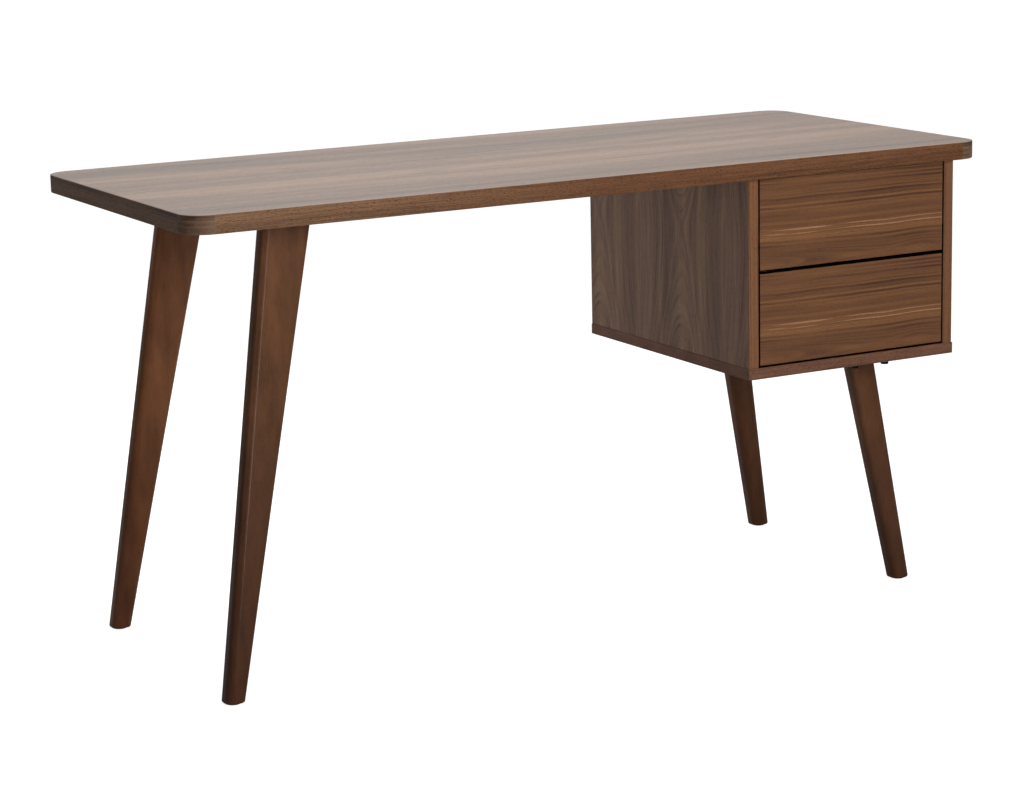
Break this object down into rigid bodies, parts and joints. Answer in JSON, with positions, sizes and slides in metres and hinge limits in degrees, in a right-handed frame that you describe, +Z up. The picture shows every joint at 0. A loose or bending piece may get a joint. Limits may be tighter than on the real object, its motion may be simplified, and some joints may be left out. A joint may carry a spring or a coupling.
{
  "type": "writing desk with drawers",
  "caption": "Writing desk with a rounded-corner walnut top on splayed tapered legs, and a handleless cabinet of sliding drawers hung under its right end.",
  "frame": {"origin": "centre of the desktop's footprint, on the floor under the feet", "axes": "+X to the right along the desktop, +Y to the back, +Z up; the drawers open towards -Y"},
  "size_m": [1.4, 0.6, 0.745],
  "materials": {
    "walnut_top": "open-grain walnut veneer, satin lacquer",
    "walnut_edge": "walnut veneer edging, satin lacquer",
    "walnut_corner": "bent walnut veneer edging, satin lacquer",
    "walnut_side": "walnut veneer, upright cathedral grain, satin lacquer",
    "walnut_bottom": "walnut veneer, satin lacquer",
    "walnut_front": "walnut veneer, level wavy grain, satin lacquer",
    "birch": "clear lacquered birch plywood",
    "bottom_sheet": "thin lacquered plywood",
    "beech": "fluted beech dowel",
    "leg_walnut": "solid wood stained dark walnut, satin lacquer",
    "zinc_steel": "zinc plated",
    "plate_steel": "black powder coat",
    "slide_steel": "zinc plated, rolled",
    "black_bolt": "black oxide",
    "brass_insert": "turned",
    "nylon": "moulded"
  },
  "bodies": {
    "frame": {"desktop_panel": "walnut_top", "front_edging": "walnut_edge", "back_edging": "walnut_edge", "left_end_edging": "walnut_edge", "right_end_edging": "walnut_edge", "corner_edgings": "walnut_corner", "cabinet_left_side": "walnut_side", "cabinet_right_side": "walnut_side", "cabinet_bottom": "walnut_bottom", "cabinet_back": "walnut_side", "front_rail": "birch", "rear_rail": "birch", "cabinet_edgings": "walnut_edge", "dowels": "beech", "confirmat_screws": "zinc_steel", "cam_nuts": "zinc_steel", "cam_bolts": "zinc_steel", "desktop_screws": "zinc_steel", "leg_front_left": "leg_walnut", "leg_back_left": "leg_walnut", "leg_front_right": "leg_walnut", "leg_back_right": "leg_walnut", "plate_front_left": "plate_steel", "plate_back_left": "plate_steel", "plate_front_right": "plate_steel", "plate_back_right": "plate_steel", "plate_bolts": "black_bolt", "plate_washers": "zinc_steel", "hanger_bolts": "zinc_steel", "panel_inserts": "brass_insert", "foot_glides": "nylon", "upper_left_slide": "slide_steel", "upper_right_slide": "slide_steel", "lower_left_slide": "slide_steel", "lower_right_slide": "slide_steel", "slide_screws": "zinc_steel", "release_units": "nylon"},
    "upper_drawer": {"upper_drawer_front": "walnut_front", "upper_box_front": "birch", "upper_box_left": "birch", "upper_box_right": "birch", "upper_box_back": "birch", "upper_box_bottom": "bottom_sheet", "upper_box_screws": "zinc_steel", "upper_drawer_members": "slide_steel", "upper_member_screws": "zinc_steel"},
    "lower_drawer": {"lower_drawer_front": "walnut_front", "lower_box_front": "birch", "lower_box_left": "birch", "lower_box_right": "birch", "lower_box_back": "birch", "lower_box_bottom": "bottom_sheet", "lower_box_screws": "zinc_steel", "lower_drawer_members": "slide_steel", "lower_member_screws": "zinc_steel"},
    "upper_slide_middle": {"upper_middle_members": "slide_steel"},
    "lower_slide_middle": {"lower_middle_members": "slide_steel"}
  },
  "joints": [
    {"name": "upper_drawer_slide", "type": "slide", "parent": "frame", "child": "upper_drawer", "axis": [0, -1, 0], "range_m": [-0.003, 0.38]},
    {"name": "lower_drawer_slide", "type": "slide", "parent": "frame", "child": "lower_drawer", "axis": [0, -1, 0], "range_m": [-0.003, 0.38]},
    {"name": "upper_middle_slide", "type": "slide", "parent": "frame", "child": "upper_slide_middle", "axis": [0, -1, 0], "range_m": [-0.0015, 0.19]},
    {"name": "lower_middle_slide", "type": "slide", "parent": "frame", "child": "lower_slide_middle", "axis": [0, -1, 0], "range_m": [-0.0015, 0.19]}
  ],
  "couplings": [
    {"joint": "upper_middle_slide", "follows": "upper_drawer_slide", "ratio": 0.5},
    {"joint": "lower_middle_slide", "follows": "lower_drawer_slide", "ratio": 0.5}
  ]
}
